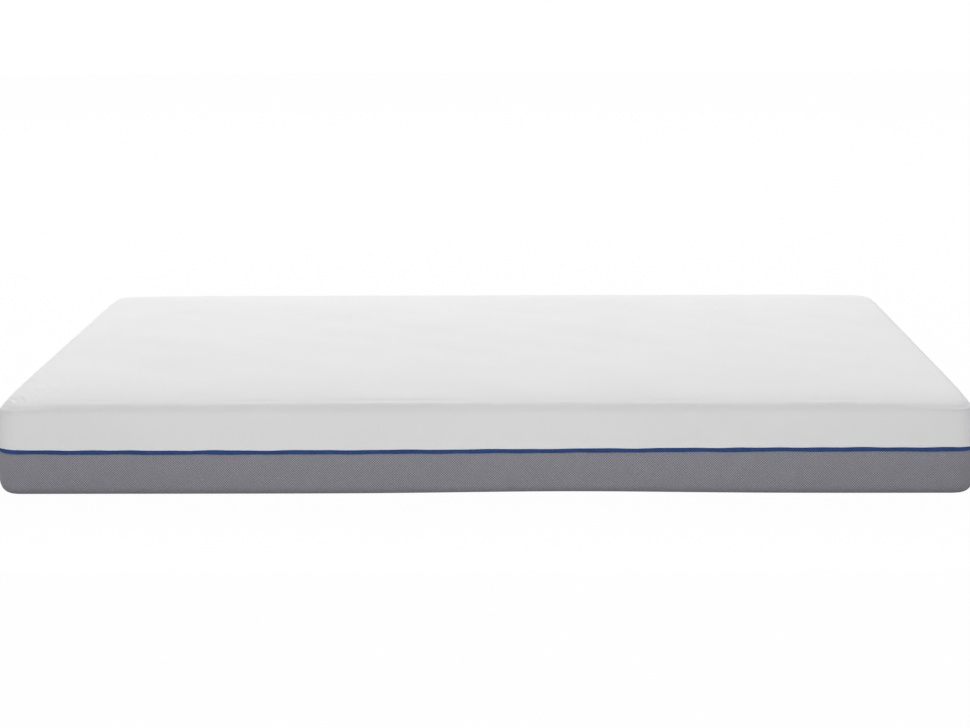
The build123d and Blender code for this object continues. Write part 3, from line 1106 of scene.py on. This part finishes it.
def repeat_along(name, points, closed, pitch, size, turn, material):
    """One small bar repeated along a path by Geometry Nodes, as a plain mesh."""
    curve = bpy.data.curves.new(name, "CURVE")
    curve.dimensions = "3D"
    spline = curve.splines.new("POLY")
    spline.points.add(len(points) - 1)
    spline.points.foreach_set("co", np.hstack((points, np.ones((len(points), 1)))).ravel())
    spline.use_cyclic_u = closed
    carrier = show(name + "_path", curve)
    modifier = carrier.modifiers.new("Repeat", "NODES")
    modifier.node_group = repeat_tree()
    settings = {"Pitch": pitch, "Size": size, "Turn": turn, "Material": material}
    for socket in modifier.node_group.interface.items_tree:
        if socket.name in settings:
            modifier[socket.identifier] = settings[socket.name]
    evaluated = carrier.evaluated_get(bpy.context.evaluated_depsgraph_get())
    mesh = bpy.data.meshes.new_from_object(evaluated)
    carrier.modifiers.remove(modifier)
    bpy.data.objects.remove(carrier)
    if not mesh.polygons:
        raise RuntimeError(name + " came out empty")
    mesh.name = name
    return show(name, mesh)


def path_points(line, distance, inset, height):
    """Points of a path that follows the perimeter."""
    places, normals = line.walk(distance)
    ground = places - normals * inset
    return np.column_stack((ground, np.full(len(ground), height)))


FLAT_RIM = 0.046
FOAM_FLAT = 0.035


def make_base_panel(shape, look):
    """Woven base, sewn to the tail of the mesh border in a shallow valley."""
    line = Perimeter(shape.corner_radius)
    edge = inset_of(BASE_HIGH)
    thick = BASE_HIGH.z
    valley = 0.0007
    rows = [(FLAT_RIM, 0.0), (edge + 0.010, 0.0), (edge + 0.006, 0.0003), (edge + 0.003, valley),
            (edge + 0.0006, valley), (edge, valley + 0.0003), (edge, thick - 0.0003),
            (edge + 0.0006, thick), (edge + 0.006, thick), (FLAT_RIM, thick)]

    def section(distance, places, normals):
        insets, heights = by_column(rows, len(distance))
        return insets, heights + floor_lift(shape, *ground_of(places, normals, insets))

    def lower(x, y):
        return floor_lift(shape, x, y)

    def upper(x, y):
        return thick + floor_lift(shape, x, y)

    base = cushion("woven_base_panel", line, section, lower, upper, base_weave(look),
                   pitch=0.04, corner_steps=12)
    dress(base, "base", "base_weave", "base_panel")
    distance, _ = line.columns(pitch=0.02, corner_steps=16)
    path = path_points(line, distance, edge + 0.0028, valley - 0.0001)
    path[:, 2] += floor_lift(shape, path[:, 0], path[:, 1])
    seam = repeat_along("base_seam_stitches", path, closed=True, pitch=0.0048,
                        size=(0.0036, 0.0006, 0.0006), turn=(0.0, QUARTER, 0.0),
                        material=thread_finish("seam_thread", look, pitch=0.0009))
    dress(seam, "base", "base_weave")


FOAM_ROLL = 0.009
FOAM_BEVEL = 0.0006


def foam_edge(edge, level, roll, way):
    """Rows from a foam layer's flat to its side: rolled, or cut with a small bevel."""
    if not roll:
        return [(edge + FOAM_BEVEL, level), (edge, level + way * FOAM_BEVEL)]
    return quarter_roll(edge, level, roll, way, 6)


def make_foam_layer(shape, look, name, node, low, high, low_roll, high_roll, dye):
    """One foam block; the lowest follows the floor and the top one is crowned."""
    line = Perimeter(shape.corner_radius)
    edge = inset_of(SUPPORT_HIGH)
    lean_fade = 0.02
    crowned_from = low + 0.01
    rows = [(FLAT_RIM, low), (FOAM_FLAT, low), *foam_edge(edge, low, low_roll, 1),
            *reversed(foam_edge(edge, high, high_roll, -1)), (FOAM_FLAT, high), (FLAT_RIM, high)]

    def section(distance, places, normals):
        insets, heights = by_column(rows, len(distance))
        insets = insets + lean(shape, normals, heights) * eased((FLAT_RIM - insets) / lean_fade)
        if high_roll:
            rise = crown(shape, line, *ground_of(places, normals, insets))
            heights = heights + rise * (heights > crowned_from)
        if low_roll:
            heights = lifted_low(shape, places, normals, insets, heights)
        return insets, heights

    def upper(x, y):
        return high + crown(shape, line, x, y) * (high_roll > 0)

    def lower(x, y):
        return low + floor_lift(shape, x, y) * (low_roll > 0)

    block = cushion(name, line, section, lower, upper, foam_finish(name, dye, look.foam_cell),
                    pitch=0.03, corner_steps=14)
    dress(block, "base", name, node)


def make_foam_layers(shape, look):
    """The three glued foam layers."""
    comfort_top = COMFORT_HIGH.z - shape.crown_rise
    layers = (
        ("support_foam", "support_foam_core", SUPPORT_LOW.z, SUPPORT_HIGH.z, FOAM_ROLL, 0.0, look.support),
        ("memory_foam", "memory_foam_layer", MEMORY_LOW.z, MEMORY_HIGH.z, 0.0, 0.0, look.memory),
        ("comfort_foam", "comfort_foam_layer", COMFORT_LOW.z, comfort_top, 0.0, FOAM_ROLL, look.comfort),
    )
    for layer in layers:
        make_foam_layer(shape, look, *layer)


def finish_node(node, material):
    """Gives a CAD node a material."""
    materials = frame["nodes"][node].data.materials
    materials.clear()
    materials.append(material)


def make_zip(shape, look):
    """Zip tapes, teeth and metal, hidden behind the piping."""
    line = Perimeter(shape.corner_radius)
    coil_deep = 0.0022
    tooth_pitch = 0.0017
    tooth_width = 0.0011
    tooth_margin = 0.001
    path_steps = 1400
    tape_step = 0.008
    tape_thick = 0.0007
    half = tape_thick / 2
    middle = inset_of(COIL_UP_HIGH) + coil_deep / 2
    gap = 0.006
    sewn = 0.008
    bend_gap = 0.0003
    start = line.back(STOPS_LOW.x + gap)
    end = line.back(STOPS_HIGH.x - gap) + line.total
    distance = np.linspace(start, end, int((end - start) / tape_step))
    weave = zip_weave(look)
    tapes = (
        ("upper", "top_cover", TAPE_UP_LOW.z, TAPE_UP_HIGH.z, inset_of(TAPE_UP_HIGH), 1, bend_gap),
        ("lower", "base", TAPE_DOWN_HIGH.z, TAPE_DOWN_LOW.z, inset_of(TAPE_DOWN_HIGH), -1,
         TAPE_DOWN_HIGH.z - SLIDER_LOW.z + bend_gap),
    )
    for side, body, near, far, sewn_inset, way, straight in tapes:
        centre = [(middle, near), (middle, near + way * straight), (sewn_inset + half, far - way * sewn),
                  (sewn_inset + half, far)]
        rows = [(inset - half, height) for inset, height in centre]
        rows += [(inset + half, height) for inset, height in reversed(centre)]
        insets, heights = by_column(rows, len(distance))
        tape = ring("zip_tape_weave_" + side, line, distance, insets, heights, weave, closed=False)
        dress(tape, body, "zip_tape", "zip_tape_" + side)
    start = line.back(STOPS_LOW.x)
    end = line.back(STOPS_HIGH.x) + line.total
    distance = np.linspace(start + tooth_margin, end - tooth_margin, path_steps)
    nylon = coil_nylon(look)
    for side, body, low, high in (("upper", "top_cover", COIL_UP_LOW.z, COIL_UP_HIGH.z),
                                  ("lower", "base", COIL_DOWN_LOW.z, COIL_DOWN_HIGH.z)):
        path = path_points(line, distance, middle, (low + high) / 2)
        teeth = repeat_along("zip_teeth_" + side, path, closed=False, pitch=tooth_pitch,
                             size=(tooth_width, coil_deep, high - low), turn=(0.0, 0.0, 0.0),
                             material=nylon)
        dress(teeth, body, "zip_coil", "zip_coil_" + side)
    metal = brushed_metal(look)
    for node in ("zip_slider", "zip_pull", "zip_stops_upper", "zip_stops_lower"):
        finish_node(node, metal)


def dress_hidden_nodes():
    """Gives each CAD node that a piece stands for the finish of that piece."""
    for piece in list(bpy.context.scene.objects):
        for node in piece.get("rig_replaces", ()):
            finish_node(node, piece.data.materials[0])


WHITE = (1, 1, 1, 1)
FLOOR_GREY = (0.6, 0.6, 0.6)
FLOOR_REACH = 14.0
FLOOR_Z = -0.0004
KEY_SOFTBOX = {"place": (-1.05, 7.0, 7.9), "target": (0.0, 0.0, 0.2), "size": (5.0, 5.0)}
FRONT_STRIP = {"place": (-0.05, -1.25, 0.06), "target": (-0.05, -0.7, 0.08), "size": (2.5, 0.12)}


def make_floor(stage):
    """A pale floor that is white to the eye and keeps a soft shadow."""
    floor = Finish("pale_floor")
    colour = floor.dyed(FLOOR_GREY, 0.01, floor.noise(scale=0.8))
    matt = floor.node("ShaderNodeBsdfPrincipled", {"Base Color": colour, "Roughness": 0.9})
    glow = floor.node("ShaderNodeEmission", {"Color": WHITE, "Strength": 1.0})
    seen = floor.seen_directly() * stage.floor_white
    both = floor.node("ShaderNodeMixShader", {0: seen, 1: matt, 2: glow})
    floor.node("ShaderNodeOutputMaterial", {"Surface": both})
    corners = ((-1, -1), (1, -1), (1, 1), (-1, 1))
    mesh = bpy.data.meshes.new("floor")
    mesh.from_pydata([(x * FLOOR_REACH, y * FLOOR_REACH, FLOOR_Z) for x, y in corners], [], [(0, 1, 2, 3)])
    mesh.materials.append(floor.material)
    show("floor", mesh)


def make_world(stage):
    """Even light all round; white where the camera looks straight at it."""
    world = bpy.data.worlds.new("studio")
    world.use_nodes = True
    world.node_tree.nodes.clear()
    sky = Graph(world.node_tree)
    even = sky.node("ShaderNodeBackground", {"Color": WHITE, "Strength": stage.ambient})
    white = sky.node("ShaderNodeBackground", {"Color": WHITE, "Strength": 1.0})
    both = sky.node("ShaderNodeMixShader", {0: sky.seen_directly(), 1: even, 2: white})
    sky.node("ShaderNodeOutputWorld", {"Surface": both})
    bpy.context.scene.world = world


def softbox(name, power, place, target, size):
    """An area lamp of a width and a height that looks at a point."""
    lamp = bpy.data.lights.new(name, "AREA")
    lamp.shape = "RECTANGLE"
    lamp.size, lamp.size_y = size
    lamp.energy = power
    made = show(name, lamp)
    made.location = place
    made.visible_camera = False
    made.rotation_euler = (Vector(target) - Vector(place)).to_track_quat("-Z", "Y").to_euler()


def make_camera(stage):
    """The camera where the photograph was taken from."""
    pitch, yaw, roll = stage.camera_pitch, stage.camera_yaw, stage.camera_roll
    forward = Vector((math.sin(yaw) * math.cos(pitch), math.cos(yaw) * math.cos(pitch), -math.sin(pitch)))
    right = Vector((math.cos(yaw), -math.sin(yaw), 0.0))
    down = forward.cross(right)
    tipped_right = math.cos(roll) * right + math.sin(roll) * down
    tipped_up = math.sin(roll) * right - math.cos(roll) * down
    lens = bpy.data.cameras.new("camera")
    lens.sensor_width = 36.0
    lens.sensor_fit = "HORIZONTAL"
    lens.lens = stage.camera_lens
    lens.clip_end = 60.0
    camera = show("camera", lens)
    axes = Matrix((tipped_right, tipped_up, -forward)).transposed().to_4x4()
    camera.matrix_world = Matrix.Translation(stage.camera_place) @ axes
    bpy.context.scene.camera = camera


class PieceOperator:
    """What the operators share: undo, and the scene's settings."""

    bl_options = {"REGISTER", "UNDO"}

    @staticmethod
    def settings(context):
        return context.scene.mattress_shape, context.scene.mattress_finish


class MATTRESS_OT_top_panel(PieceOperator, bpy.types.Operator):
    """Add the knit top panel"""

    bl_idname = "mattress.top_panel"
    bl_label = "Top Panel"

    def execute(self, context):
        make_top_panel(*self.settings(context))
        return {"FINISHED"}


class MATTRESS_OT_upper_border(PieceOperator, bpy.types.Operator):
    """Add the white upper border"""

    bl_idname = "mattress.upper_border"
    bl_label = "Upper Border"

    def execute(self, context):
        make_upper_border(*self.settings(context))
        return {"FINISHED"}


class MATTRESS_OT_piping(PieceOperator, bpy.types.Operator):
    """Add the blue piping and its filler cord"""

    bl_idname = "mattress.piping"
    bl_label = "Piping"

    def execute(self, context):
        make_piping(*self.settings(context))
        return {"FINISHED"}


class MATTRESS_OT_lower_border(PieceOperator, bpy.types.Operator):
    """Add the grey mesh border"""

    bl_idname = "mattress.lower_border"
    bl_label = "Lower Border"

    def execute(self, context):
        make_lower_border(*self.settings(context))
        return {"FINISHED"}


class MATTRESS_OT_base_panel(PieceOperator, bpy.types.Operator):
    """Add the woven base and its stitches"""

    bl_idname = "mattress.base_panel"
    bl_label = "Base Panel"

    def execute(self, context):
        make_base_panel(*self.settings(context))
        return {"FINISHED"}


class MATTRESS_OT_foam_layers(PieceOperator, bpy.types.Operator):
    """Add the three foam layers"""

    bl_idname = "mattress.foam_layers"
    bl_label = "Foam Layers"

    def execute(self, context):
        make_foam_layers(*self.settings(context))
        return {"FINISHED"}


class MATTRESS_OT_zip(PieceOperator, bpy.types.Operator):
    """Add the zip's tapes and teeth and finish its metal"""

    bl_idname = "mattress.zip"
    bl_label = "Zip"

    def execute(self, context):
        make_zip(*self.settings(context))
        return {"FINISHED"}


class MATTRESS_OT_stage(PieceOperator, bpy.types.Operator):
    """Add floor, lamps and camera"""

    bl_idname = "mattress.stage"
    bl_label = "Stage"

    def execute(self, context):
        stage = context.scene.mattress_stage
        make_floor(stage)
        make_world(stage)
        softbox("key_softbox", stage.key_power, **KEY_SOFTBOX)
        softbox("front_strip", stage.fill_power, **FRONT_STRIP)
        make_camera(stage)
        context.scene.view_settings.view_transform = "Standard"
        return {"FINISHED"}


OPERATORS = (
    MATTRESS_OT_top_panel,
    MATTRESS_OT_upper_border,
    MATTRESS_OT_piping,
    MATTRESS_OT_lower_border,
    MATTRESS_OT_base_panel,
    MATTRESS_OT_foam_layers,
    MATTRESS_OT_zip,
    MATTRESS_OT_stage,
)
GROUPS = {
    "mattress_shape": MattressShape,
    "mattress_finish": MattressFinish,
    "mattress_stage": MattressStage,
}


class MATTRESS_PT_pieces(bpy.types.Panel):
    """Lists the pieces and their settings"""

    bl_idname = "MATTRESS_PT_pieces"
    bl_label = "Mattress"
    bl_space_type = "VIEW_3D"
    bl_region_type = "UI"
    bl_category = "Mattress"

    def draw(self, context):
        for operator in OPERATORS:
            self.layout.operator(operator.bl_idname)
        for group in GROUPS:
            settings = getattr(context.scene, group)
            box = self.layout.box()
            for name in settings.__annotations__:
                box.prop(settings, name)


CLASSES = (*GROUPS.values(), *OPERATORS, MATTRESS_PT_pieces)


def register():
    """Adds the classes and their settings on the scene."""
    for kind in CLASSES:
        bpy.utils.register_class(kind)
    for name, kind in GROUPS.items():
        setattr(bpy.types.Scene, name, PointerProperty(type=kind))


def unregister():
    """Takes the settings and classes away again."""
    for name in GROUPS:
        delattr(bpy.types.Scene, name)
    for kind in reversed(CLASSES):
        bpy.utils.unregister_class(kind)


def main():
    """Builds every piece and the stage."""
    register()
    for operator in OPERATORS:
        family, name = operator.bl_idname.split(".")
        getattr(getattr(bpy.ops, family), name)()
    dress_hidden_nodes()
    bpy.context.view_layer.update()


if __name__ == "__main__":
    main()
